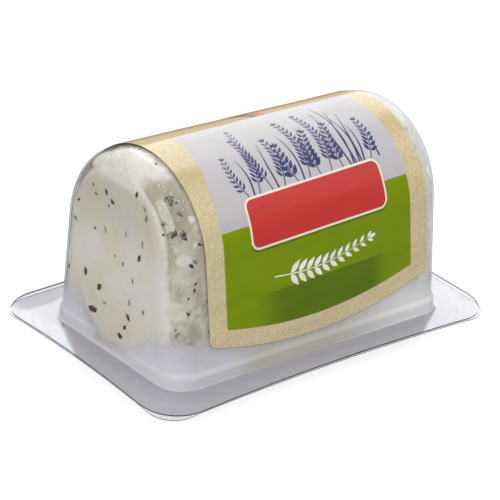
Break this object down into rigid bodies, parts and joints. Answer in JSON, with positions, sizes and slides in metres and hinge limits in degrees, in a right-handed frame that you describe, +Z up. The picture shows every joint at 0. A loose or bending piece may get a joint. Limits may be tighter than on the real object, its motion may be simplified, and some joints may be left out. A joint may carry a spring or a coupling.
{
  "type": "goat cheese log",
  "caption": "Fresh goat cheese log with garlic and herbs, sealed in a clear arched dome with a wide flange and a printed wrap.",
  "frame": {"origin": "bottom centre of the flange, on the surface that the pack rests on", "axes": "+X along the log, -Y towards the front of the pack, +Z up"},
  "size_m": [0.09, 0.061, 0.0471],
  "materials": {
    "clear_shell": "clear glossy thermoformed sheet",
    "clear_film": "clear glossy film",
    "fresh_cheese": "soft moist curd with herb flakes",
    "printed_wrap": "satin printed label stock"
  },
  "bodies": {
    "root": {"shell": "clear_shell", "base_film": "clear_film", "cheese": "fresh_cheese", "wrap": "printed_wrap"}
  },
  "joints": []
}
